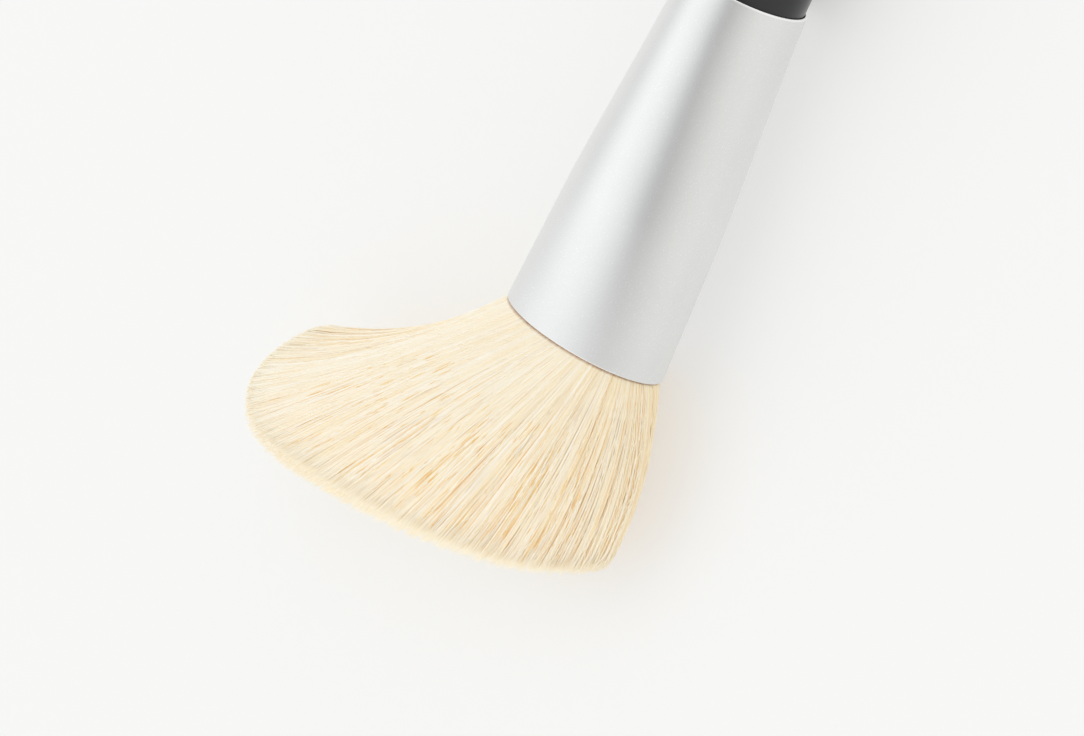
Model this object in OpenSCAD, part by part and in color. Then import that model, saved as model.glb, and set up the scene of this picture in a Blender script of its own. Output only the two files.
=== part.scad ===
// Angled contour brush, lying on its flat side with the long side of the hair along +Y.
// In the brush's own frame the mouth of the ferrule is at x = 0, the handle runs along +X
// and the hair along -X. The lay_down module then tips it onto the surface z = 0.

/* [Ferrule] */
// Length of the ferrule from its mouth to its neck
ferrule_length = 39.4; // [34:0.1:48]
// Width of the oval mouth, outside
mouth_width = 19.4; // [17:0.1:23]
// Height of the oval mouth, outside
mouth_height = 13.7; // [12:0.1:15.5]
// Distance from the mouth to the shoulder, where the taper steepens
shoulder_x = 15.7; // [11:0.1:21]
// Mean diameter at the shoulder, outside
shoulder_diameter = 15.8; // [14.8:0.1:16.2]
// Diameter of the round neck, outside
neck_diameter = 13; // [12:0.1:13.8]
// Length of the fully round part at the neck
neck_round = 4; // [2:0.1:7]
// Thickness of the metal
ferrule_wall = 0.25; // [0.2:0.05:0.4]
// Rounding of the two rims
rim_round = 0.1; // [0.05:0.01:0.15]

/* [Handle] */
// Length of the handle beyond the ferrule
handle_length = 103; // [80:1:140]
// Gap between the handle and the neck of the ferrule
neck_gap = 0.06; // [0.04:0.01:0.2]
// Length of the handle inside the ferrule
tenon_length = 13; // [8:0.5:17]
// Chamfer at the inner end of the handle
tenon_chamfer = 0.6; // [0.2:0.1:1.5]
// Straight stretch of the handle just outside the ferrule
straight_length = 4; // [1:0.5:8]
// Length over which the handle swells
swell_rise = 18; // [10:1:24]
// Diameter of the straight swell, where a holder grips
grip_diameter = 13; // [12.8:0.1:14.4]
// Length of the straight swell
grip_length = 16; // [8:1:24]
// Diameter at the start of the rounded butt
butt_diameter = 8; // [6:0.1:11]
// Length of the rounded butt
butt_round = 4; // [2:0.5:6]

/* [Glue] */
// Depth of the glue's front face behind the mouth
glue_depth = 8; // [5:0.5:12]
// Length of the glue plug
glue_length = 9; // [5:0.5:12]
// Film between the glue or the roots and the metal
bond_gap = 0.05; // [0.03:0.01:0.1]

/* [Tuft] */
// Free length of the hair at the short edge of the fan
hair_short_edge = 21; // [15:0.5:28]
// Free length a third of the way from the short edge
hair_short_third = 33; // [26:0.5:38]
// Free length a third of the way from the long edge
hair_long_third = 40; // [34:0.5:46]
// Free length at the long edge of the fan
hair_long_edge = 28; // [22:0.5:36]
// Lean of the hair where it leaves the mouth, at the short edge, in degrees
root_short_edge = -34; // [-36:1:0]
// Lean at the mouth, a third of the way from the short edge
root_short_third = 27; // [10:0.5:30]
// Lean at the mouth, a third of the way from the long edge
root_long_third = 41.5; // [32:0.5:46]
// Lean at the mouth, at the long edge
root_long_edge = 36.5; // [34:0.5:50]
// Lean of the hair at its tip, at the short edge
tip_short_edge = 10; // [0:1:16]
// Lean at the tip, a third of the way from the short edge
tip_short_third = 31; // [24:0.5:36]
// Lean at the tip, a third of the way from the long edge
tip_long_third = 44.5; // [38:0.5:52]
// Lean at the tip, at the long edge
tip_long_edge = 69; // [54:1:72]
// Rise of the tips at the long edge, and their fall at the short one
tip_curl = 1.3; // [0:0.1:3]
// Share by which the tuft bellies out beyond the mouth
tuft_belly = 0.14; // [0:0.01:0.2]
// Share of the mouth's height that the tuft keeps at its tips
tip_share = 0.74; // [0.6:0.01:1]
// Share by which the outer hair is cut shorter than the middle
tip_dome = 0.09; // [0:0.01:0.12]
// Share by which the hair is shorter at the two edges of the fan, to round the cut's corners
corner_share = 0.08; // [0:0.01:0.1]
// Number of locks around the tuft
locks = 36; // [20:1:40]
// Depth of the grooves between the locks, as a share of the tuft
groove_depth = 0.07; // [0.02:0.01:0.1]
// Unevenness of the lock tips, as a share of the hair's length
tip_ragged = 0.035; // [0:0.005:0.06]
// Least height of the lower hair above the surface
tuft_clearance = 0.15; // [0.05:0.05:0.5]

/* [Hidden] */

// Sides of the oval sections, and how the metal is divided along its length
oval_sides = 72;
outer_steps = 15;
inner_steps = 9;
glue_steps = 3;
// Softness of the shoulder's bend
shoulder_soft = 1.2;

// Mean radius of the ferrule's outside. Its taper changes at the shoulder by a soft bend.
mouth_mean_r = sqrt(mouth_width * mouth_height) / 2;
mouth_ratio = sqrt(mouth_width / mouth_height);
round_x = ferrule_length - neck_round;
slope_low = (mouth_mean_r - shoulder_diameter / 2) / shoulder_x;
slope_high = (shoulder_diameter - neck_diameter) / 2 / (ferrule_length - shoulder_x);
function bend(x) = shoulder_soft * ln(1 + exp((x - shoulder_x) / shoulder_soft));
function mean_r(x) = mouth_mean_r - slope_low * x - (slope_high - slope_low) * bend(x);
// Ratio that turns the mean radius into the half width and the half height of the oval
function ratio(x) = 1 + (mouth_ratio - 1) * max(0, 1 - x / round_x);
function half_width(x) = mean_r(x) * ratio(x);
function half_height(x) = mean_r(x) / ratio(x);

// Handle sizes that follow the ferrule
handle_r = neck_diameter / 2 - ferrule_wall - neck_gap;
grip_r = grip_diameter / 2;
butt_r = butt_diameter / 2;
tenon_x = ferrule_length - tenon_length;
rise_x = ferrule_length + straight_length;
grip_x = rise_x + swell_rise;
taper_x = grip_x + grip_length;
butt_x = ferrule_length + handle_length;
round_start_x = butt_x - butt_round;
rise_steps = 8;
taper_steps = 16;
round_steps = 8;
taper_power = 1.4;
function ease(t) = t * t * (3 - 2 * t);
handle_curve = concat(
    [for (i = [0:rise_steps])
        [handle_r + (grip_r - handle_r) * ease(i / rise_steps), rise_x + swell_rise * i / rise_steps]],
    [for (i = [0:taper_steps])
        [grip_r - (grip_r - butt_r) * pow(i / taper_steps, taper_power),
            taper_x + (round_start_x - taper_x) * i / taper_steps]],
    [for (i = [1:round_steps])
        [butt_r * cos(90 * i / round_steps), round_start_x + butt_round * sin(90 * i / round_steps)]]
);

// How the brush lies: the underside of the ferrule and the swell of the handle touch z = 0
under_steps = 40;
under = [for (i = [0:under_steps]) ferrule_length * i / under_steps];
rest_slope = max([for (x = under) (half_height(x) - grip_r) / (taper_x - x)]);
rest_tilt = atan(rest_slope);
rest_lift = max(concat(
    [for (x = under) x * sin(rest_tilt) + half_height(x) * cos(rest_tilt)],
    [for (c = handle_curve) c[1] * sin(rest_tilt) + c[0] * cos(rest_tilt)]
));
// Height of the surface below the brush's axis at x
function floor_depth(x) = (rest_lift - x * sin(rest_tilt)) / cos(rest_tilt);

// The tuft. A hair is told by where it leaves the mouth, p across and q up, both from -1 to 1.
root_half_width = half_width(0) - ferrule_wall - bond_gap;
root_half_height = half_height(0) - ferrule_wall - bond_gap;
corner_power = 12;
// Smooth curve through four values, evenly spaced from the short edge to the long edge
function across(a, b, c, d, p) = a * -9 / 16 * (p + 1 / 3) * (p - 1 / 3) * (p - 1)
    + b * 27 / 16 * (p + 1) * (p - 1 / 3) * (p - 1)
    + c * -27 / 16 * (p + 1) * (p + 1 / 3) * (p - 1)
    + d * 9 / 16 * (p + 1) * (p + 1 / 3) * (p - 1 / 3);
function root_angle(p) = across(root_short_edge, root_short_third, root_long_third, root_long_edge, p);
function tip_angle(p) = across(tip_short_edge, tip_short_third, tip_long_third, tip_long_edge, p);
function hair_length(p, q) = (1 - tip_dome * q * q - corner_share * pow(p, corner_power))
    * across(hair_short_edge, hair_short_third, hair_long_third, hair_long_edge, p);
// A hair bends evenly from its root angle to its tip angle, so its place is an arc's
function arc_along(a, b, s) = abs(b - a) < 0.01 ? s * cos(a)
    : (sin(a + (b - a) * s) - sin(a)) / ((b - a) * PI / 180);
function arc_aside(a, b, s) = abs(b - a) < 0.01 ? s * sin(a)
    : (cos(a) - cos(a + (b - a) * s)) / ((b - a) * PI / 180);
function fullness(s) = 1 + tuft_belly * sin(180 * s) - (1 - tip_share) * pow(s, 1.5);
function hair_height(p, q, s) = root_half_height * q * fullness(s) + tip_curl * p * s * s;
function hair_at(p, q, s, l) = let (
    a = root_angle(p),
    b = tip_angle(p),
    x = -l * arc_along(a, b, s)
) [
    x,
    root_half_width * p + l * arc_aside(a, b, s),
    max(hair_height(p, q, s), tuft_clearance - floor_depth(x))
];

// Locks: four points to each, with a groove between neighbours and uneven tips
lock_points = 4;
tuft_sides = locks * lock_points;
lock_seed = 7;
lock_depth = rands(0.35, 1, locks, lock_seed);
lock_trim = rands(0, 1, locks, lock_seed + 1);
groove_shape = [1, 0.25, 0, 0.25];
function groove(i) = groove_shape[i % lock_points] * lock_depth[floor(i / lock_points)];
function trim(i, share) = 1 - tip_ragged * share * (lock_trim[floor(i / lock_points)] + groove(i));
// Rings from the seam along the middle of the cut, out over the domed cut to its edge, then
// along the free hair to the mouth, and then to the roots
free_steps = 16;
end_shares = [0.05, 0.22, 0.38, 0.54, 0.7, 0.86];
seam_inset = 0.05;
function lock_hair(i, s, share) = let (
    angle = 360 * i / tuft_sides,
    rho = 1 - groove_depth * groove(i) * share * min(1, 2.5 * s),
    p = rho * cos(angle) * (1 - seam_inset * (1 - share)),
    q = rho * sin(angle) * share
) hair_at(p, q, s, hair_length(p, q) * trim(i, share));
function free_ring(s, share) = [for (i = [0:tuft_sides - 1]) lock_hair(i, s, share)];
function root_ring(x) = oval_ring(
    x, half_width(x) - ferrule_wall - bond_gap, half_height(x) - ferrule_wall - bond_gap, tuft_sides);
tuft_rings = concat(
    [for (share = end_shares) free_ring(1, share)],
    [for (k = [free_steps:-1:1]) free_ring(pow(k / free_steps, 1.15), 1)],
    [root_ring(0), root_ring(glue_depth / 2), root_ring(glue_depth)]
);

// The middle of the whole brush, seen from above, becomes the origin
low_x = min([for (r = tuft_rings) min([for (t = r) t[0]])]);
low_y = min([for (r = tuft_rings) min([for (t = r) t[1]])]);
high_y = max([for (r = tuft_rings) max([for (t = r) t[1]])]);
middle_x = (low_x + butt_x) / 2 * cos(rest_tilt);
middle_y = (low_y + high_y) / 2;

function oval_ring(x, a, b, n) = [for (i = [0:n - 1]) [x, a * cos(360 * i / n), b * sin(360 * i / n)]];

// Faces between neighbouring rings of n points, taken along +X, and the ends of a closed loft
function side_faces(rings, n, wrap) = [
    for (k = [0:rings - (wrap ? 1 : 2)])
        for (i = [0:n - 1])
            let (
                k2 = (k + 1) % rings,
                i2 = (i + 1) % n
            )
            each [[k * n + i, k2 * n + i, k2 * n + i2], [k * n + i, k2 * n + i2, k * n + i2]]
];
function first_face(n) = [[for (i = [0:n - 1]) i]];
function last_face(rings, n) = [[for (i = [0:n - 1]) rings * n - 1 - i]];
// Closes a flat first ring along its middle, by joining each point to the one below it
function seam_faces(n) = [
    [0, 1, n - 1],
    for (i = [1:n / 2 - 2])
        each [[i, i + 1, n - i - 1], [i, n - i - 1, n - i]],
    [n / 2 - 1, n / 2, n / 2 + 1]
];
module loft(rings, seamed = false) {
    n = len(rings[0]);
    points = [for (r = rings) each r];
    start = seamed ? seam_faces(n) : first_face(n);
    polyhedron(points, concat(side_faces(len(rings), n, false), start, last_face(len(rings), n)));
}
module ring_loft(rings) {
    n = len(rings[0]);
    points = [for (r = rings) each r];
    polyhedron(points, side_faces(len(rings), n, true));
}

// Tips the brush onto the surface and moves its middle over the origin
module lay_down() {
    translate([-middle_x, -middle_y, rest_lift])
        rotate([0, rest_tilt, 0])
            children();
}

// Turned handle: tenon, straight neck, straight swell for a holder, taper and rounded butt
module handle() {
    color([0.12, 0.12, 0.14])
        lay_down()
            rotate([0, 90, 0])
                rotate_extrude($fn = 96)
                    polygon(concat(
                        [
                            [0, tenon_x],
                            [handle_r - tenon_chamfer, tenon_x],
                            [handle_r, tenon_x + tenon_chamfer]
                        ],
                        handle_curve
                    ));
}

// Drawn ferrule: one thin wall, oval at the mouth and round at the neck, with rounded rims
module ferrule() {
    outer = [for (i = [0:outer_steps]) rim_round + (ferrule_length - 2 * rim_round) * i / outer_steps];
    inner = [for (i = [0:inner_steps]) ferrule_length * (1 - i / inner_steps)];
    color([0.78, 0.79, 0.8])
        lay_down()
            ring_loft(concat(
                [oval_ring(0, half_width(0) - rim_round, half_height(0) - rim_round, oval_sides)],
                [for (x = outer) oval_ring(x, half_width(x), half_height(x), oval_sides)],
                [oval_ring(ferrule_length, half_width(ferrule_length) - rim_round,
                    half_height(ferrule_length) - rim_round, oval_sides)],
                [for (x = inner)
                    oval_ring(x, half_width(x) - ferrule_wall, half_height(x) - ferrule_wall, oval_sides)]
            ));
}

// Glue that holds the roots in the ferrule
module glue_plug() {
    stations = [for (i = [0:glue_steps]) glue_depth + glue_length * i / glue_steps];
    film = ferrule_wall + bond_gap;
    color([0.75, 0.62, 0.36])
        lay_down()
            loft([for (x = stations)
                oval_ring(x, half_width(x) - film, half_height(x) - film, oval_sides)]);
}

// Hair: roots inside the ferrule, then a fan of locks that leans to the long side
module tuft() {
    color([0.96, 0.91, 0.8])
        lay_down()
            loft(tuft_rings, seamed = true);
}

handle();
ferrule();
glue_plug();
tuft();
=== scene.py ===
import math

import bmesh
import bpy
import numpy as np
from mathutils import Matrix


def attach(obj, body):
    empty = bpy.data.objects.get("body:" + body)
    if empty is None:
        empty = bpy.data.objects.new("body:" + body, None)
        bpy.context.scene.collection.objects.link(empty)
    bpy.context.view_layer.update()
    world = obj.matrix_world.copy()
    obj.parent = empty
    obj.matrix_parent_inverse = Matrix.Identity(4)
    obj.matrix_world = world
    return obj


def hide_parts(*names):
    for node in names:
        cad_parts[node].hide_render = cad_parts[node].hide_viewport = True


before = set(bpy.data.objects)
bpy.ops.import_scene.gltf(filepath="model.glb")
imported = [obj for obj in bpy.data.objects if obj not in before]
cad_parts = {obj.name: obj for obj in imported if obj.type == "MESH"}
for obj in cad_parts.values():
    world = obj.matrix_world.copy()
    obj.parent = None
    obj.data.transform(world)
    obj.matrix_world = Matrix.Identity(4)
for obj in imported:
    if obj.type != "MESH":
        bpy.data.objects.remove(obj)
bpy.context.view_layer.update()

# Angled contour brush: smooth ferrule and handle, and a tuft of separate tapered hairs

# Sizes are millimetres and angles degrees in the brush's own frame, as in the part's source:
# mouth of the ferrule at x = 0, handle along +X, hair along -X, long side of the hair +Y.
MM = 0.001
random = np.random.default_rng(11)

# Driving sizes of the part
FERRULE_LENGTH = 39.4
MOUTH_WIDTH = 19.4
MOUTH_HEIGHT = 13.7
SHOULDER_X = 15.7
SHOULDER_DIAMETER = 15.8
SHOULDER_SOFT = 1.2
NECK_DIAMETER = 13.0
NECK_ROUND = 4.0
WALL = 0.25
RIM_ROUND = 0.1
HANDLE_LENGTH = 103.0
NECK_GAP = 0.06
TENON_LENGTH = 13.0
TENON_CHAMFER = 0.6
STRAIGHT_LENGTH = 4.0
SWELL_RISE = 18.0
GRIP_DIAMETER = 13.0
GRIP_LENGTH = 16.0
BUTT_DIAMETER = 8.0
BUTT_ROUND = 4.0
TAPER_POWER = 1.4
BOND_GAP = 0.05
HAIR_LENGTHS = (21.0, 33.0, 40.0, 28.0)
ROOT_ANGLES = (-34.0, 27.0, 41.5, 36.5)
TIP_ANGLES = (10.0, 31.0, 44.5, 69.0)
TIP_CURL = 1.3
TUFT_BELLY = 0.14
TIP_SHARE = 0.74
TIP_DOME = 0.09
CORNER_SHARE = 0.08
CORNER_POWER = 12
TUFT_CLEARANCE = 0.15

# How the brush lies, from the part's source
REST_TILT = 0.574801
REST_LIFT = 7.27615
MIDDLE_X = 56.2189
MIDDLE_Y = 9.92274


# The frame of the brush

def turned(vectors):
    """Directions of the brush's frame, in the row frame."""
    v = np.asarray(vectors, float)
    c, s = math.cos(math.radians(REST_TILT)), math.sin(math.radians(REST_TILT))
    x, y, z = v[..., 0], v[..., 1], v[..., 2]
    return np.stack([x * c + z * s, y, z * c - x * s], -1)


def laid(points):
    """Points of the brush's frame in millimetres, in the row frame in metres."""
    return (turned(points) + [-MIDDLE_X, -MIDDLE_Y, REST_LIFT]) * MM


def floor_depth(x):
    """Depth of the surface below the brush's axis."""
    tilt = math.radians(REST_TILT)
    return (REST_LIFT - x * math.sin(tilt)) / math.cos(tilt)


# Sections of the ferrule

def mean_radius(x):
    """Radius of the ferrule with two tapers and a soft shoulder, between its half width and half height."""
    mouth = math.sqrt(MOUTH_WIDTH * MOUTH_HEIGHT) / 2
    low = (mouth - SHOULDER_DIAMETER / 2) / SHOULDER_X
    high = (SHOULDER_DIAMETER - NECK_DIAMETER) / 2 / (FERRULE_LENGTH - SHOULDER_X)
    bend = SHOULDER_SOFT * np.log1p(np.exp((x - SHOULDER_X) / SHOULDER_SOFT))
    return mouth - low * x - (high - low) * bend


def section_ratio(x):
    """Half width over mean radius: that of an oval at the mouth, and 1 where the neck is round."""
    share = 1 - np.asarray(x, float) / (FERRULE_LENGTH - NECK_ROUND)
    return 1 + (math.sqrt(MOUTH_WIDTH / MOUTH_HEIGHT) - 1) * np.maximum(0, share)


def half_width(x):
    return mean_radius(x) * section_ratio(x)


def half_height(x):
    return mean_radius(x) / section_ratio(x)


ROOT_HALF_WIDTH = float(half_width(0)) - WALL - BOND_GAP
ROOT_HALF_HEIGHT = float(half_height(0)) - WALL - BOND_GAP


# Mesh building

def mesh_object(name, points, faces, material, attributes=None, smooth=True):
    """A mesh object from points in metres and an array of faces of one size."""
    points, faces = np.asarray(points, np.float32), np.asarray(faces, np.int32)
    corners = faces.shape[1]
    mesh = bpy.data.meshes.new(name)
    mesh.vertices.add(len(points))
    mesh.vertices.foreach_set("co", points.ravel())
    mesh.loops.add(faces.size)
    mesh.loops.foreach_set("vertex_index", faces.ravel())
    mesh.polygons.add(len(faces))
    mesh.polygons.foreach_set("loop_start", np.arange(len(faces), dtype=np.int32) * corners)
    mesh.update(calc_edges=True)
    mesh.polygons.foreach_set("use_smooth", np.full(len(faces), smooth))
    for key, values in (attributes or {}).items():
        attribute = mesh.attributes.new(key, "FLOAT", "POINT")
        attribute.data.foreach_set("value", np.asarray(values, np.float32).ravel())
    mesh.materials.append(material)
    made = bpy.data.objects.new(name, mesh)
    bpy.context.scene.collection.objects.link(made)
    return made


def grid_faces(rings, sides, wrap=False):
    """Quads between neighbouring rings, and with wrap between the last and the first."""
    k = np.arange(rings if wrap else rings - 1)[:, None]
    i = np.arange(sides)[None, :]
    k2, i2 = (k + 1) % rings, (i + 1) % sides
    quads = np.stack([k * sides + i, k2 * sides + i, k2 * sides + i2, k * sides + i2], -1)
    return quads.reshape(-1, 4)


def full_turn(sides):
    """Angles of a ring's points."""
    return np.linspace(0, 2 * math.pi, sides, endpoint=False)


def oval_rings(stations, widths, heights, sides):
    """Rings across X at each station, with those half widths and half heights."""
    turn = full_turn(sides)
    x = np.repeat(np.asarray(stations, float)[:, None], sides, 1)
    y = np.asarray(widths, float)[:, None] * np.cos(turn)
    z = np.asarray(heights, float)[:, None] * np.sin(turn)
    return np.stack([x, y, z], -1)


def close_ends(made):
    """Fills the open ends of a loft, if it has any, and turns every face outward."""
    shape = bmesh.new()
    shape.from_mesh(made.data)
    bmesh.ops.holes_fill(shape, edges=[e for e in shape.edges if e.is_boundary])
    bmesh.ops.recalc_face_normals(shape, faces=shape.faces)
    shape.to_mesh(made.data)
    shape.free()
    made.data.polygons.foreach_set("use_smooth", np.ones(len(made.data.polygons), bool))
    return made


# Material building

class Nodes:
    """A node tree, with short calls to add and join nodes."""

    def __init__(self, tree, output):
        self.tree = tree
        self.tree.nodes.clear()
        self.output = self.node(output)

    def node(self, kind, values=None, **settings):
        made = self.tree.nodes.new("ShaderNode" + kind)
        for key, value in settings.items():
            setattr(made, key, value)
        for key, value in (values or {}).items():
            if isinstance(value, bpy.types.NodeSocket):
                self.tree.links.new(value, made.inputs[key])
            else:
                made.inputs[key].default_value = value
        return made

    def arithmetic(self, operation, first, second):
        return self.node("Math", {0: first, 1: second}, operation=operation).outputs[0]

    def blend(self, factor, low, high):
        """Colour between low and high, by a factor socket."""
        made = self.node("Mix", data_type="RGBA")
        for key, value in (("Factor", factor), ("A", low), ("B", high)):
            socket = [s for s in made.inputs if s.name == key and s.enabled][0]
            if isinstance(value, bpy.types.NodeSocket):
                self.tree.links.new(value, socket)
            else:
                socket.default_value = (*value, 1)
        return [s for s in made.outputs if s.enabled][0]

    def ranged(self, value, low, high, to_low=0.0, to_high=1.0):
        """A value from low to high, moved to another range and kept in it."""
        return self.node("MapRange", {
            "Value": value, "From Min": low, "From Max": high, "To Min": to_low, "To Max": to_high,
        }).outputs["Result"]

    def surface(self, shader):
        """Joins a shader to the tree's output."""
        self.tree.links.new(shader.outputs[0], self.output.inputs["Surface"])


class Shader(Nodes):
    """A new material."""

    def __init__(self, name):
        self.material = bpy.data.materials.new(name)
        self.material.use_nodes = True
        super().__init__(self.material.node_tree, "OutputMaterial")

    def attribute(self, name):
        """A number that the mesh holds at each of its points."""
        return self.node("Attribute", attribute_name=name).outputs["Fac"]

    def noise(self, scale, detail=2.0, stretch=(1, 1, 1)):
        """Noise over the piece's own place, in features per metre."""
        place = self.node("TexCoord").outputs["Object"]
        moved = self.node("Mapping", {"Vector": place, "Scale": stretch})
        return self.node("TexNoise", {
            "Vector": moved.outputs["Vector"], "Scale": scale, "Detail": detail,
        }).outputs["Fac"]

    def bump(self, height, strength, distance):
        return self.node("Bump", {
            "Height": height, "Strength": strength, "Distance": distance,
        }).outputs["Normal"]

    def finish(self, shader):
        self.surface(shader)
        return self.material

    def principled(self, values):
        """The material, finished with one principled surface."""
        return self.finish(self.node("BsdfPrincipled", values))


# Materials of the metal, the lacquer and the glue

METAL_COLOURS = ((0.785, 0.79, 0.785), (0.815, 0.815, 0.81))
METAL_GLINT = (0.99, 0.99, 0.99)
# A brighter colour for the rim at the neck, a painted highlight
METAL_RIM_HIGHLIGHT = (0.97, 0.97, 0.97)
METAL_ROUGHNESS = (0.30, 0.38)
MOUTH_ROUGHNESS = 0.16
GLINT_NOISE = (0.72, 0.78)
LACQUER_COLOURS = ((0.010, 0.010, 0.012), (0.016, 0.016, 0.018))
LACQUER_ROUGHNESS = (0.28, 0.34)
GLUE_COLOURS = ((0.52, 0.36, 0.13), (0.66, 0.50, 0.22))
GLUE_ROUGHNESS = 0.3
# Most of a noise lies between these values
USUAL_NOISE = (0.3, 0.7)


def satin_metal():
    """Bead-blasted aluminium: broad soft shine, a fine sparkling grain, and a brighter colour on the rim at
    the neck, a painted highlight.
    """
    m = Shader("satin_metal")
    grain = m.noise(scale=9000, detail=3)
    glints = m.ranged(m.noise(scale=14000, detail=0), *GLINT_NOISE)
    patches = m.blend(m.noise(scale=180), *METAL_COLOURS)
    sparkling = m.blend(glints, patches, METAL_GLINT)
    # The metal shines less towards the mouth
    duller = m.ranged(m.attribute("near_mouth"), 0, 1, 0, MOUTH_ROUGHNESS)
    return m.principled({
        # The rim at the neck gets a brighter colour, a painted highlight
        "Base Color": m.blend(m.attribute("rim"), sparkling, METAL_RIM_HIGHLIGHT),
        "Metallic": 1.0,
        "Roughness": m.arithmetic("ADD", m.ranged(grain, *USUAL_NOISE, *METAL_ROUGHNESS), duller),
        "Normal": m.bump(grain, strength=0.25, distance=0.00002),
    })


def black_lacquer():
    """Satin black lacquer with a faint unevenness."""
    m = Shader("black_lacquer")
    return m.principled({
        "Base Color": m.blend(m.noise(scale=900), *LACQUER_COLOURS),
        "Roughness": m.ranged(m.noise(scale=260), *USUAL_NOISE, *LACQUER_ROUGHNESS),
        "Normal": m.bump(m.noise(scale=2500), strength=0.08, distance=0.00002),
    })


def amber_glue():
    """Cured amber glue."""
    m = Shader("amber_glue")
    return m.principled({
        "Base Color": m.blend(m.noise(scale=500, detail=3), *GLUE_COLOURS),
        "Roughness": GLUE_ROUGHNESS,
        "Normal": m.bump(m.noise(scale=700), strength=0.3, distance=0.0001),
    })


# Materials of the hair

LAMP_WAY = (0.0, 0.64, 0.77)
LIT_FACING = (-0.5, 0.75)
# Colour on the side away from the lamp, and on the lit side
PALE_HAIR = ((1.0, 0.915, 0.71), (1.0, 0.955, 0.86))
DEEP_HAIR = ((1.0, 0.84, 0.54), (1.0, 0.92, 0.75))
# Golden painted shade of the hairs deep in the tuft
GOLDEN_SHADE = (1.0, 0.76, 0.32)
# Ochre of short strands that stand for shade in crevices, a painted shade
OCHRE_SHADE = (0.90, 0.64, 0.28)
TIP_COLOUR = (1.0, 0.95, 0.82)
# Brown of the painted shadow where the hairs go into the ferrule
ROOT_SHADOW = (0.45, 0.22, 0.09)
# Where a hair pales to its tip, and where a painted shadow darkens its root at the ferrule's mouth, as
# shares of its length
TIP_PALING = (0.88, 1.0)
MOST_PALED = 0.9
ROOT_SHADOW_SPAN = (0.0, 0.015)
# Tones from 0 to 1 run from deep to pale, those from 0 to -1 turn to a painted golden shade, and -2 is the
# ochre of painted crevice shade
GOLDEN_SHADE_TONES = (-1.0, 0.0)
OCHRE_SHADE_TONES = (-2.0, -1.5)
FIBRE_ROUGHNESS = 0.42
FIBRE_SPECULAR = 0.15
# Golden colours of the hidden mass of hair, a painted shade for the gaps between the outer hairs
INNER_SHADE_COLOURS = ((1.0, 0.72, 0.34), (1.0, 0.82, 0.47))
CUT_COLOURS = ((1.0, 0.91, 0.70), (1.0, 0.965, 0.87))
CUT_NOISE = (0.4, 0.6)
INNER_ROUGHNESS = 0.6


def hair_fibre():
    """Cream synthetic hair, slightly glossy: pale on the sides that face the lamp, and deeper elsewhere."""
    m = Shader("hair_fibre")
    tone, along = m.attribute("tone"), m.attribute("along")
    facing = m.node("VectorMath", {
        0: m.node("NewGeometry").outputs["Normal"], 1: LAMP_WAY}, operation="DOT_PRODUCT").outputs["Value"]
    lit = m.ranged(facing, *LIT_FACING)
    body = m.blend(tone, m.blend(lit, *DEEP_HAIR), m.blend(lit, *PALE_HAIR))
    body = m.blend(m.ranged(along, *TIP_PALING, 0.0, MOST_PALED), body, TIP_COLOUR)
    # Hairs below the outermost ones turn golden, a painted shade for the gaps between hairs
    body = m.blend(m.ranged(tone, *GOLDEN_SHADE_TONES), GOLDEN_SHADE, body)
    # Tones near -2 are ochre, the painted crevice shade
    body = m.blend(m.ranged(tone, *OCHRE_SHADE_TONES), OCHRE_SHADE, body)
    return m.principled({
        # The roots at the mouth darken to a painted shadow under the rim
        "Base Color": m.blend(m.ranged(along, *ROOT_SHADOW_SPAN), ROOT_SHADOW, body),
        "Roughness": FIBRE_ROUGHNESS,
        "Specular IOR Level": FIBRE_SPECULAR,
    })


def hair_shade():
    """The mass of hair deep in the tuft, seen between the outer hairs in golden colours that are painted
    shade, and between the tips at the cut in the pale colours of hair ends.
    """
    m = Shader("hair_shade")
    streaks = m.noise(scale=2500, stretch=(0.12, 1, 1))
    dots = m.ranged(m.noise(scale=7000, detail=1), *CUT_NOISE)
    painted_inner_shade, at_cut = m.blend(streaks, *INNER_SHADE_COLOURS), m.blend(dots, *CUT_COLOURS)
    return m.principled({
        "Base Color": m.blend(m.attribute("cut"), painted_inner_shade, at_cut),
        "Roughness": INNER_ROUGHNESS,
        "Normal": m.bump(streaks, strength=0.4, distance=0.0002),
    })


# Material of the floor

PAPER_COLOUR = (0.92, 0.92, 0.915)
PAPER_LIT = (0.96, 0.958, 0.945)
# Shares of the even white in what the camera and the metal see
EVEN_FOR_CAMERA = 0.5
EVEN_FOR_METAL = 0.8


def paper_white():
    """Matt white floor. Metal and the camera partly see an evenly lit white, so its shadows stay light."""
    m = Shader("paper_white")
    matt = m.node("BsdfDiffuse", {"Color": (*PAPER_COLOUR, 1)})
    even = m.node("Emission", {"Color": (*PAPER_LIT, 1), "Strength": 1.0})
    rays = m.node("LightPath").outputs
    seen = m.arithmetic("MULTIPLY", rays["Is Camera Ray"], EVEN_FOR_CAMERA)
    mirrored = m.arithmetic("MULTIPLY", rays["Is Glossy Ray"], EVEN_FOR_METAL)
    share = m.arithmetic("MAXIMUM", seen, mirrored)
    return m.finish(m.node("MixShader", {0: share, 1: matt.outputs[0], 2: even.outputs[0]}))


# Ferrule, the part's own form with smooth curves

FERRULE_SIDES = 160
FERRULE_STEPS = 60
INNER_STEPS = 10
RIM_STEPS = 5
# Length at the neck's end whose rim gets the painted highlight
RIM_HIGHLIGHT_BAND = 0.17
# Rings close behind each rim keep its shading apart from the plain metal's
NEAR_RIM = 1.6 * RIM_ROUND
PAST_RIM = 2.5 * RIM_ROUND


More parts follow.
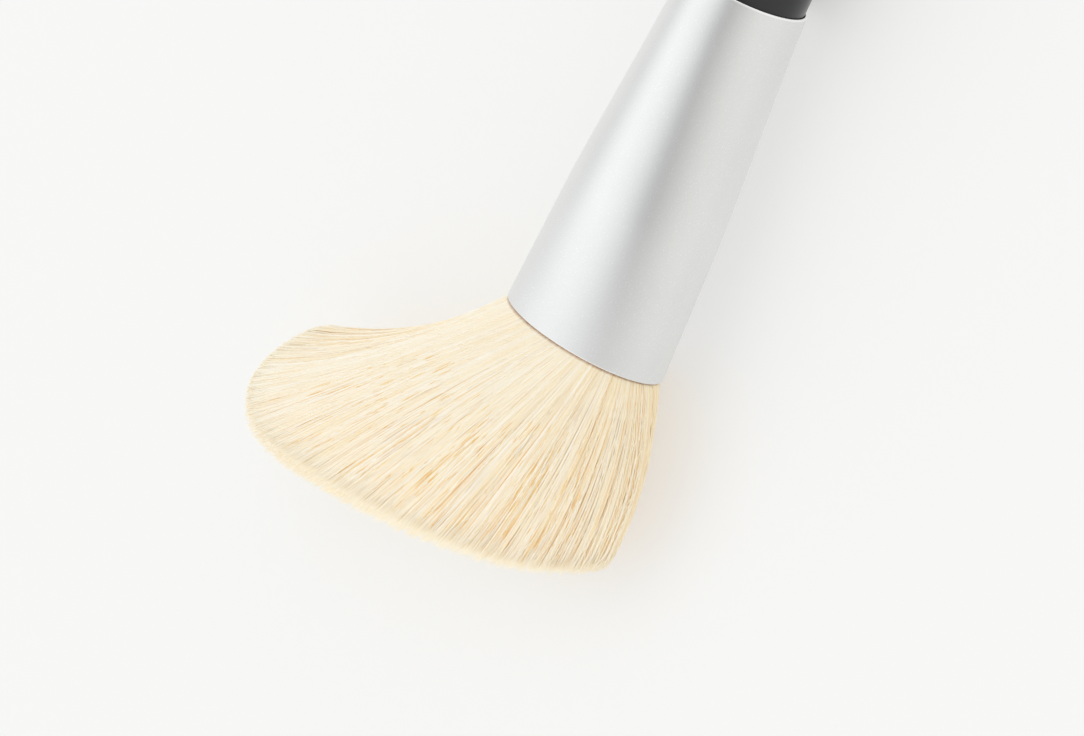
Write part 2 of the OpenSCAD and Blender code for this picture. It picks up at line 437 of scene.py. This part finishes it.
def make_ferrule(material):
    """Drawn sleeve: outside, rounded rim, inside and rounded rim, in one closed loop of rings."""
    arc = np.linspace(0, math.pi / 2, RIM_STEPS + 1)
    lip = RIM_ROUND * (1 - np.cos(arc))
    sunk = RIM_ROUND * (1 - np.sin(arc))
    plain = np.linspace(PAST_RIM, FERRULE_LENGTH - PAST_RIM, FERRULE_STEPS)
    outside = np.concatenate([[NEAR_RIM], plain, [FERRULE_LENGTH - NEAR_RIM]])
    inside = np.linspace(FERRULE_LENGTH - RIM_ROUND, RIM_ROUND, INNER_STEPS)[1:-1]
    stations = np.concatenate([
        lip, outside, FERRULE_LENGTH - lip[::-1],
        FERRULE_LENGTH - lip, inside, lip[::-1]])
    inset = np.concatenate([
        sunk, np.zeros_like(outside), sunk[::-1],
        WALL - sunk, np.full_like(inside, WALL), WALL - sunk[::-1]])
    rings = oval_rings(
        stations, half_width(stations) - inset, half_height(stations) - inset, FERRULE_SIDES)
    # Marks the neck's rim for its painted highlight
    rim = stations > FERRULE_LENGTH - RIM_HIGHLIGHT_BAND
    near_mouth = np.clip(1 - stations / SHOULDER_X, 0, 1)
    faces = grid_faces(len(stations), FERRULE_SIDES, wrap=True)
    made = mesh_object("ferrule_metal", laid(rings.reshape(-1, 3)), faces, material, {
        "rim": np.repeat(rim, FERRULE_SIDES),
        "near_mouth": np.repeat(near_mouth, FERRULE_SIDES),
    })
    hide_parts("ferrule")
    return close_ends(made)


# Handle, the part's own form with smooth curves

HANDLE_SIDES = 96
NECK_STEPS = 12
NECK_MARGIN = 0.5
RISE_STEPS = 24
TAPER_STEPS = 60
BUTT_STEPS = 25
TENON_FACE_RADIUS = 1.0


def ease(t):
    return t * t * (3 - 2 * t)


def make_handle(material):
    """Turned handle: tenon, neck, swell, taper and rounded butt."""
    neck_r = NECK_DIAMETER / 2 - WALL - NECK_GAP
    grip_r, butt_r = GRIP_DIAMETER / 2, BUTT_DIAMETER / 2
    tenon_x = FERRULE_LENGTH - TENON_LENGTH
    neck_x = tenon_x + TENON_CHAMFER
    rise_x = FERRULE_LENGTH + STRAIGHT_LENGTH
    taper_x = rise_x + SWELL_RISE + GRIP_LENGTH
    round_x = FERRULE_LENGTH + HANDLE_LENGTH - BUTT_ROUND
    rise, taper = np.linspace(0, 1, RISE_STEPS), np.linspace(0, 1, TAPER_STEPS)
    arc = np.linspace(0, math.pi / 2, BUTT_STEPS)[1:-1]
    stations = np.concatenate([
        [tenon_x, tenon_x, neck_x],
        np.linspace(neck_x + NECK_MARGIN, rise_x - NECK_MARGIN, NECK_STEPS),
        rise_x + SWELL_RISE * rise,
        taper_x + (round_x - taper_x) * taper,
        round_x + BUTT_ROUND * np.sin(arc)])
    radii = np.concatenate([
        [TENON_FACE_RADIUS, neck_r - TENON_CHAMFER, neck_r],
        np.full(NECK_STEPS, neck_r),
        neck_r + (grip_r - neck_r) * ease(rise),
        grip_r - (grip_r - butt_r) * taper ** TAPER_POWER,
        butt_r * np.cos(arc)])
    rings = oval_rings(stations, radii, radii, HANDLE_SIDES)
    faces = grid_faces(len(stations), HANDLE_SIDES)
    made = mesh_object("handle_wood", laid(rings.reshape(-1, 3)), faces, material)
    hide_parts("handle")
    return close_ends(made)


# The way the hair runs

LEAST_TURN = 1e-3
TIP_POWER = 1.5


def across(values, p):
    """Smooth curve through four values, evenly spaced from the short edge to the long edge."""
    a, b, c, d = values
    third = 1 / 3
    return (-9 * a * (p + third) * (p - third) * (p - 1) + 27 * b * (p + 1) * (p - third) * (p - 1)
            - 27 * c * (p + 1) * (p + third) * (p - 1) + 9 * d * (p + 1) * (p + third) * (p - third)) / 16


def hair_length(p, q):
    """Length of a hair that leaves the mouth p across and q up. The cut is domed, with rounded corners."""
    return (1 - TIP_DOME * q ** 2 - CORNER_SHARE * p ** CORNER_POWER) * across(HAIR_LENGTHS, p)


def hair_at(p, q, s, length):
    """Place at share s of a hair that leaves the mouth p across and q up, both from -1 to 1."""
    start, end = np.radians(across(ROOT_ANGLES, p)), np.radians(across(TIP_ANGLES, p))
    turn = end - start
    turn = np.where(np.abs(turn) < LEAST_TURN, LEAST_TURN, turn)
    x = -length * (np.sin(start + turn * s) - np.sin(start)) / turn
    y = ROOT_HALF_WIDTH * p + length * (np.cos(start) - np.cos(start + turn * s)) / turn
    swell = 1 + TUFT_BELLY * np.sin(np.pi * np.clip(s, 0, 1)) - (1 - TIP_SHARE) * np.abs(s) ** TIP_POWER
    z = ROOT_HALF_HEIGHT * q * swell + TIP_CURL * p * s * s
    return np.stack([x, y, np.maximum(z, TUFT_CLEARANCE - floor_depth(x))], -1)


def inside_mouth(p, q, depth):
    """Place of a root inside the ferrule, at that depth behind the mouth."""
    film = WALL + BOND_GAP
    y = (float(half_width(depth)) - film) * p
    z = (float(half_height(depth)) - film) * q
    return np.stack([np.full_like(p, depth), y, z], -1)


def pushed_aside(places, p, s, aside):
    """Places moved by that many millimetres across the way the hair runs there."""
    flow = np.radians(across(ROOT_ANGLES, p) * (1 - s) + across(TIP_ANGLES, p) * s)
    return places + np.stack([aside * np.sin(flow), aside * np.cos(flow), np.zeros_like(aside)], -1)


# Core of the tuft

CORE_SIDES = 160
CORE_STEPS = 40
CUT_STEPS = 10
CORE_DEPTH = 4.0
CORE_SHARE = 0.955
# The core ends a little short of the tips, and less so on the long side
CORE_REACH = 0.975
LONG_SIDE_REACH = 0.01
# It widens along the fan near the tips, which fills the cut's corners
CORNERS_FROM = 0.85
CORNER_WIDENING = 0.03
CUT_SHARES = (0.9, 0.08)


def make_core(material):
    """The mass of hair under the outer hairs."""
    turn = full_turn(CORE_SIDES)

    def oval(share, s):
        wider = CORE_SHARE + CORNER_WIDENING * np.clip((s - CORNERS_FROM) / (1 - CORNERS_FROM), 0, 1)
        return share * wider * np.cos(turn), share * CORE_SHARE * np.sin(turn)

    def ring(share, s):
        p, q = oval(share, s)
        reach = CORE_REACH + LONG_SIDE_REACH * np.clip(p, 0, 1)
        return hair_at(p, q, s, reach * hair_length(p, q))

    root = inside_mouth(*oval(1.0, 0.0), CORE_DEPTH)
    sides = [ring(1.0, s) for s in np.linspace(0, 1, CORE_STEPS)]
    cut = [ring(share, 1.0) for share in np.linspace(*CUT_SHARES, CUT_STEPS)]
    rings = [root, *sides, *cut]
    # The last ring of the sides is the cut's edge
    is_cut = np.arange(len(rings)) >= CORE_STEPS
    faces = grid_faces(len(rings), CORE_SIDES)
    made = mesh_object("hair_core", laid(np.concatenate(rings)), faces, material, {
        "cut": np.repeat(is_cut, CORE_SIDES),
    })
    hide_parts("tuft")
    return close_ends(made)


# Places round the tuft, and the clefts where hairs part

TIP_HALF_FAN = 24.0
TURN_STEPS = 2000
LONG_SIDE_CROWDING = 0.5
CLEFT_COUNT = 80
CLEFT_FADE = 0.4
CLEFT_REACHES = (0.05, 0.14)
CLEFT_OPENINGS = (0.02, 0.07)
CLEFT_SLANT = 0.1
# Powers below 1 crowd clefts, and the strands of painted crevice shade, to the second value: towards the
# short side, and to the tips
CLEFT_SIDES = (0.5, -0.95)
CLEFT_MIDDLES = (0.3, 1.0)
CREVICE_SIDES = (0.55, -0.9)
CREVICE_MIDDLES = (0.3, 0.95)
SIDE_POWER = 0.8
MIDDLE_POWER = 0.75


def half_fan(s):
    """Half the fan's width at share s of the hair, roughly."""
    return ROOT_HALF_WIDTH + (TIP_HALF_FAN - ROOT_HALF_WIDTH) * s


def face_at(angle):
    """Which broad face of the tuft an angle of its oval is on: 1 for the upper one and -1 for the lower."""
    return np.where(np.sin(angle) < 0, -1.0, 1.0)


def skewed(first, last, power, count=None):
    """Random values from first to last, crowded to last by a power below 1."""
    return first + (last - first) * random.uniform(0, 1, count) ** power


def round_the_tuft(count):
    """Angles of the oval at which hairs stand evenly round the fan, and closer at the long side's edge."""
    turn = np.linspace(0, 2 * math.pi, TURN_STEPS)
    pace = np.hypot(half_fan(0.5) * np.sin(turn), ROOT_HALF_HEIGHT * np.cos(turn))
    pace *= 1 + LONG_SIDE_CROWDING * np.clip(np.cos(turn), 0, 1) ** 2
    walked = np.cumsum(pace) / pace.sum()
    return np.interp((np.arange(count) + random.uniform(0, 1, count)) / count, walked, turn)


def make_clefts(count):
    """Short gaps where the outer hairs part, most of them near the tips and towards the short side."""
    return [{
        "p": skewed(*CLEFT_SIDES, SIDE_POWER),
        "face": random.choice([-1.0, 1.0]),
        "s": skewed(*CLEFT_MIDDLES, MIDDLE_POWER),
        "reach": random.uniform(*CLEFT_REACHES),
        "opening": random.uniform(*CLEFT_OPENINGS),
        "slant": random.normal(0, CLEFT_SLANT),
    } for _ in range(count)]


def cleft_shift(p, q, s, clefts):
    """Millimetres by which hairs are pushed aside, away from the line of each cleft near them."""
    shift = np.zeros_like(s)
    face, wide = np.sign(q), half_fan(s)
    for cleft in clefts:
        past = s - cleft["s"]
        away = (p - cleft["p"] - cleft["slant"] * past) * wide
        within = np.clip(1 - (past / cleft["reach"]) ** 2, 0, 1)
        push = cleft["opening"] * within * np.exp(-np.abs(away) / CLEFT_FADE)
        shift += np.where(face == cleft["face"], np.sign(away) * push, 0)
    return shift


# One fibre

FIBRE_SIDES = 3


def fibre_tubes(paths, radii):
    """Vertices and quads of tubes along paths of shape (hairs, points, 3), with a radius at each point."""
    along = np.gradient(paths, axis=1)
    along /= np.linalg.norm(along, axis=2, keepdims=True)
    side = np.cross(along, [0.0, 0.0, 1.0])
    side /= np.linalg.norm(side, axis=2, keepdims=True)
    up = np.cross(side, along)
    hairs, points = paths.shape[:2]
    turn = full_turn(FIBRE_SIDES) + random.uniform(0, 2 * math.pi, (hairs, 1, 1))
    wide, high = radii[..., None] * np.cos(turn), radii[..., None] * np.sin(turn)
    vertices = (paths[:, :, None, :] + wide[..., None] * side[:, :, None, :]
                + high[..., None] * up[:, :, None, :])
    quads = grid_faces(points, FIBRE_SIDES)[None] + (np.arange(hairs) * points * FIBRE_SIDES)[:, None, None]
    return vertices.reshape(-1, 3), quads.reshape(-1, 4)


def hair_piece(name, tubes, material, tone, along):
    """One piece of hair from its tubes, with the tone and the share of the length at each point."""
    vertices, quads = tubes
    made = mesh_object(name, laid(vertices), quads, material, {
        "tone": np.repeat(tone.ravel(), FIBRE_SIDES),
        "along": np.repeat(along.ravel(), FIBRE_SIDES),
    }, smooth=False)
    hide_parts("tuft")
    return made


# Long hairs in clumps

HAIRS_IN_CLUMP = 5
CLUMP_WIDTH = 0.22
ROOT_DEPTH = 1.0
FIBRE_THICKNESS = (0.09, 0.135)
STUB_THICKNESS = (0.14, 0.20)
EDGE_FUZZ = 0.002
# How free the hairs are to close up and to wave, by their place across the tuft
FREEDOM = ((-1, -0.6, 0, 1), (0.35, 0.9, 0.8, 0.2))
TIGHTEST = 0.6
CLOSING_POWER = 1.3
# The cut is uneven by these shares of the length, and looser on the long side
CLUMP_UNEVEN = 0.007
HAIR_UNEVEN = 0.014
MEAN_EXCESS = 0.010
EXCESS_LIMITS = (-0.12, 0.02)
LOOSE_FROM = 0.3
LOOSER = 0.8
# Spreads of the waves in millimetres, for a clump and for one hair, and of their shift in radians
CLUMP_WAVE = 0.04
HAIR_WAVE = 0.07
WAVE_SHIFT = 1.2
WAVES_ALONG = (0.7, 2.2)
# Hairs thicken a little from the root, then thin to the tip, and less so on the long side
THICKENING = 0.15
THINNING = 0.75
LONG_SIDE_THINNING = 0.45
THINS_FROM = 0.8
THINNING_POWER = 1.6
# Hairs below the outermost ones get a painted golden shade, least on the long side and not at all at their
# tips
OUTERMOST = 0.997
GOLDEN_DEPTH = 0.025
GOLDEN_SIDE = 0.9
LEAST_GOLDEN = 0.3
GOLDEN_ALONG = ((0, 0.4, 0.8, 0.92), (0.3, 1.0, 1.0, 0.0))
TONE_MEAN = 0.6
TONE_SPREAD = 0.28


class Clumps:
    """Hairs in clumps of a few, with random values that are the same for a whole clump."""

    def __init__(self, groups):
        self.groups = groups
        self.owner = np.repeat(np.arange(groups), HAIRS_IN_CLUMP)
        self.hairs = len(self.owner)
        self.angle = round_the_tuft(groups)[self.owner]

    def uniform(self, low, high):
        return random.uniform(low, high, self.groups)[self.owner]

    def normal(self, spread):
        return random.normal(0, spread, self.groups)[self.owner]


def cut_lengths(clumps, p, tip_p, tip_q):
    """Length of each hair that stands p across, by where its tip is across and up."""
    loose = 1 + LOOSER * np.clip((p - LOOSE_FROM) / (1 - LOOSE_FROM), 0, 1)
    uneven = clumps.normal(CLUMP_UNEVEN) - np.abs(random.normal(0, HAIR_UNEVEN, clumps.hairs)) + MEAN_EXCESS
    return hair_length(tip_p, tip_q) * (1 + np.clip(uneven * loose, *EXCESS_LIMITS))


def waves(clumps, freedom, s):
    """Millimetres by which hairs wave aside, more and more to their tips."""
    amount = clumps.normal(CLUMP_WAVE) + random.normal(0, HAIR_WAVE, clumps.hairs)
    phase = clumps.uniform(0, 2 * math.pi) + random.normal(0, WAVE_SHIFT, clumps.hairs)
    number = clumps.uniform(*WAVES_ALONG)
    return np.sin(phase[:, None] + 2 * math.pi * number[:, None] * s) * (amount * freedom)[:, None] * s


def hair_radii(p, s, thickness):
    """Radius at each point of hairs that stand p across."""
    thinning = THINNING + (LONG_SIDE_THINNING - THINNING) * np.clip(p, 0, 1)[:, None]
    thinned = thinning * np.clip((s - THINS_FROM) / (1 - THINS_FROM), 0, 1) ** THINNING_POWER
    return random.uniform(*thickness, len(p))[:, None] / 2 * (1 + THICKENING * s) * (1 - thinned)


def hair_tones(share, p, s):
    """Tone at each point of hairs that stand p across, at that share of the section."""
    # Deeper hairs get lower tones, which paint them with golden shade
    depth = np.clip((OUTERMOST - share) / GOLDEN_DEPTH, 0, 1)
    side = np.clip((GOLDEN_SIDE - p) / GOLDEN_SIDE, LEAST_GOLDEN, 1)
    plain = np.clip(random.normal(TONE_MEAN, TONE_SPREAD, len(p)), 0, 1)
    return plain[:, None] - (depth * side)[:, None] * np.interp(s, *GOLDEN_ALONG)


def make_hairs(name, material, clefts, groups, shares, steps, first=(0.0, 0.0), thickness=FIBRE_THICKNESS):
    """Hairs in clumps, between two shares of the tuft's section. First says how far along they start."""
    clumps = Clumps(groups)
    share = np.sqrt(random.uniform(shares[0] ** 2, shares[1] ** 2, clumps.hairs))
    centre = share * np.cos(clumps.angle)
    p = centre + random.normal(0, CLUMP_WIDTH / half_fan(0.5), clumps.hairs)
    edge = share * (1 - EDGE_FUZZ * random.uniform(0, 1, clumps.hairs) ** 2)
    p = np.clip(p, -edge, edge)
    freedom = np.interp(centre, *FREEDOM)
    tightness = clumps.uniform(0.0, TIGHTEST) * freedom
    start = random.uniform(*first, clumps.hairs)[:, None]
    s = start + (1 - start) * np.linspace(0, 1, steps)
    # Each hair closes on the middle of its clump as it goes
    path_p = p[:, None] + ((centre - p) * tightness)[:, None] * s ** CLOSING_POWER
    path_q = face_at(clumps.angle)[:, None] * np.sqrt(np.maximum(share[:, None] ** 2 - path_p ** 2, 0))
    places = hair_at(path_p, path_q, s, cut_lengths(clumps, p, path_p[:, -1], path_q[:, -1])[:, None])
    aside = waves(clumps, freedom, s) + cleft_shift(path_p, path_q, s, clefts)
    places = pushed_aside(places, path_p, s, aside)
    # Hairs that start at the mouth have a root inside it
    if first[1] == 0:
        roots = inside_mouth(path_p[:, 0], path_q[:, 0], ROOT_DEPTH)[:, None, :]
        places, s = np.concatenate([roots, places], 1), np.concatenate([s[:, :1], s], 1)
    tubes = fibre_tubes(places, hair_radii(p, s, thickness))
    return hair_piece(name, tubes, material, hair_tones(share, p, s), s)


# Short strands on the outside

STRAND_STEPS = 8
STRAND_MIDDLES = (0.08, 0.96)
STRAND_SPAN = (0.01, 0.995)
STRAND_LEAN = 0.07
STRAND_EDGE = 0.999
STRAND_REACH = 0.995
STRAND_WAVES = (0.4, 1.2)
STRAND_THINNING = 0.93
STRAND_POWER = 2.5


def make_strands(name, material, count, lengths, thickness, wave, tones, short_side):
    """Strands thin at both ends, all over the outside or mostly on the short side, in millimetres."""
    angle = round_the_tuft(count)
    p, middle = np.cos(angle), random.uniform(*STRAND_MIDDLES, count)
    if short_side:
        p = skewed(*CREVICE_SIDES, SIDE_POWER, count)
        middle = skewed(*CREVICE_MIDDLES, MIDDLE_POWER, count)
    half = (random.uniform(*lengths, count) / 2 / hair_length(p, 0.0))[:, None]
    t = np.linspace(-1, 1, STRAND_STEPS)
    s = np.clip(middle[:, None] + half * t, *STRAND_SPAN)
    lean = random.normal(0, STRAND_LEAN, count)[:, None] * half * t
    path_p = np.clip(p[:, None] + lean, -STRAND_EDGE, STRAND_EDGE)
    path_q = face_at(angle)[:, None] * np.sqrt(1 - path_p ** 2)
    places = hair_at(path_p, path_q, s, hair_length(path_p, path_q) * STRAND_REACH)
    turns = random.uniform(*STRAND_WAVES, count)[:, None] * t + random.uniform(0, 1, count)[:, None]
    aside = np.sin(2 * math.pi * turns) * random.uniform(0, wave, count)[:, None]
    places = pushed_aside(places, path_p, s, aside)
    taper = 1 - STRAND_THINNING * np.abs(t) ** STRAND_POWER
    tubes = fibre_tubes(places, random.uniform(*thickness, count)[:, None] / 2 * taper)
    tone = np.repeat(random.uniform(*tones, count), STRAND_STEPS)
    return hair_piece(name, tubes, material, tone, s)


# Floor

FLOOR_REACH = 40.0


def make_floor(material):
    """A wide flat floor, in metres, at the height that the brush lies on."""
    far = FLOOR_REACH
    corners = [(-far, -far, 0), (far, -far, 0), (far, far, 0), (-far, far, 0)]
    made = mesh_object("floor", corners, [(0, 1, 2, 3)], material)


# Light

# Colour of the sky round the brush's long axis: the angle up from the far horizon, over the top
# and down to the near horizon, in degrees, the level there and its tint
COOL = (0.98, 1.0, 1.0)
WARM = (1.0, 0.995, 0.975)
SKY_LEVELS = (
    (0, 0.80, WARM), (15, 0.80, COOL), (45, 1.20, COOL), (75, 1.04, COOL), (90, 0.86, COOL),
    (109, 0.36, COOL), (119, 0.52, WARM), (135, 0.68, WARM), (165, 0.92, WARM), (180, 0.90, WARM))
SKY_TOP_LEVEL = 1.8
SKY_HANDLE_END = 1.35
SKY_HAIR_END = 1.6


def light_sky():
    """A soft dome: a broad lamp behind the brush, a dark band above it and lamps past its two ends."""
    world = bpy.data.worlds.new("studio")
    bpy.context.scene.world = world
    world.use_nodes = True
    m = Nodes(world.node_tree, "OutputWorld")
    way = m.node("SeparateXYZ", {0: m.node("TexCoord").outputs["Generated"]}).outputs
    angle = m.arithmetic("ARCTAN2", way["Z"], way["Y"])
    ramp = m.node("ValToRGB", {"Fac": m.arithmetic("DIVIDE", angle, math.pi)})
    stops = ramp.color_ramp.elements
    while len(stops) < len(SKY_LEVELS):
        stops.new(0.5)
    for stop, (degrees, level, tint) in zip(stops, SKY_LEVELS):
        stop.position = degrees / 180
        stop.color = (*[level * part / SKY_TOP_LEVEL for part in tint], 1)
    towards_ends = m.arithmetic("POWER", m.arithmetic("ABSOLUTE", way["X"], 0.0), 2.0)
    is_hair_end = m.arithmetic("LESS_THAN", way["X"], 0.0)
    extra = m.arithmetic("MULTIPLY", is_hair_end, (SKY_HAIR_END - SKY_HANDLE_END) / SKY_TOP_LEVEL)
    ends = m.arithmetic("ADD", extra, SKY_HANDLE_END / SKY_TOP_LEVEL)
    colour = m.blend(towards_ends, ramp.outputs["Color"], ends)
    m.surface(m.node("Background", {"Color": colour, "Strength": SKY_TOP_LEVEL}))


# Camera

PHOTO_WIDTH = 1084
PHOTO_HEIGHT = 736
MM_PER_PIXEL = 0.1
FOCAL_PIXELS = 8008
MOUTH_PIXEL = (585.2, 337.1)
SENSOR_WIDTH = 36.0
CAMERA_NEAR = 0.01
# The brush's X, Y and Z directions as the camera sees them: right, up and towards it
SEEN_X = (0.4056, 0.8699, 0.2807)
SEEN_Y = (-0.6724, 0.4920, -0.5530)
SEEN_Z = (-0.6191, 0.0356, 0.7844)


def place_camera():
    """The photograph's long lens, placed by where the middle of the mouth is in the picture."""
    seen = np.array([SEEN_X, SEEN_Y, SEEN_Z])
    rows, _, columns = np.linalg.svd(seen)
    seen = rows @ columns
    offset = np.array([
        (MOUTH_PIXEL[0] - PHOTO_WIDTH / 2) * MM_PER_PIXEL,
        (PHOTO_HEIGHT / 2 - MOUTH_PIXEL[1]) * MM_PER_PIXEL, 0])
    eye = np.array([0, 0, FOCAL_PIXELS * MM_PER_PIXEL])
    data = bpy.data.cameras.new("camera")
    data.sensor_fit = "HORIZONTAL"
    data.sensor_width = SENSOR_WIDTH
    data.lens = FOCAL_PIXELS / PHOTO_WIDTH * SENSOR_WIDTH
    data.clip_start = CAMERA_NEAR
    camera = bpy.data.objects.new("camera", data)
    bpy.context.scene.collection.objects.link(camera)
    placed = np.eye(4)
    placed[:3, :3] = turned(seen.T).T
    placed[:3, 3] = laid(seen @ (eye - offset))
    camera.matrix_world = Matrix(placed)
    bpy.context.scene.camera = camera


# The whole scene

# Light passes between many pale hairs before it leaves them
DIFFUSE_BOUNCES = 16
ALL_BOUNCES = 18

fibre = hair_fibre()
clefts = make_clefts(CLEFT_COUNT)
pieces = [
    make_ferrule(satin_metal()),
    make_handle(black_lacquer()),
    make_core(hair_shade()),
    make_hairs("hair_under", fibre, clefts, groups=700, shares=(0.958, 0.972), steps=8),
    make_hairs("hair_tips", fibre, [], groups=1700, shares=(0.03, 0.972), steps=3,
               first=(0.88, 0.92), thickness=STUB_THICKNESS),
]
for number in (1, 2, 3):
    pieces.append(make_hairs(
        f"hair_outer_{number}", fibre, clefts, groups=420, shares=(0.970, 1.0), steps=12))
pieces.append(make_strands(
    "hair_crossing", fibre, count=2500, lengths=(3, 9), thickness=(0.07, 0.13), wave=0.09,
    tones=(0.3, 1.0), short_side=False))
# Short ochre strands on the outside, painted shade standing for crevices between the hairs
pieces.append(make_strands(
    "hair_painted_crevice_shade", fibre, count=900, lengths=(0.8, 4.0), thickness=(0.05, 0.13), wave=0.04,
    tones=(-2.0, -1.8), short_side=True))
for piece in pieces:
    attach(piece, "root")
cured = amber_glue()
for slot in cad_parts["glue_plug"].material_slots:
    slot.material = cured

make_floor(paper_white())
light_sky()
place_camera()
bpy.context.scene.view_settings.view_transform = "Standard"
bpy.context.scene.cycles.diffuse_bounces = DIFFUSE_BOUNCES
bpy.context.scene.cycles.max_bounces = ALL_BOUNCES
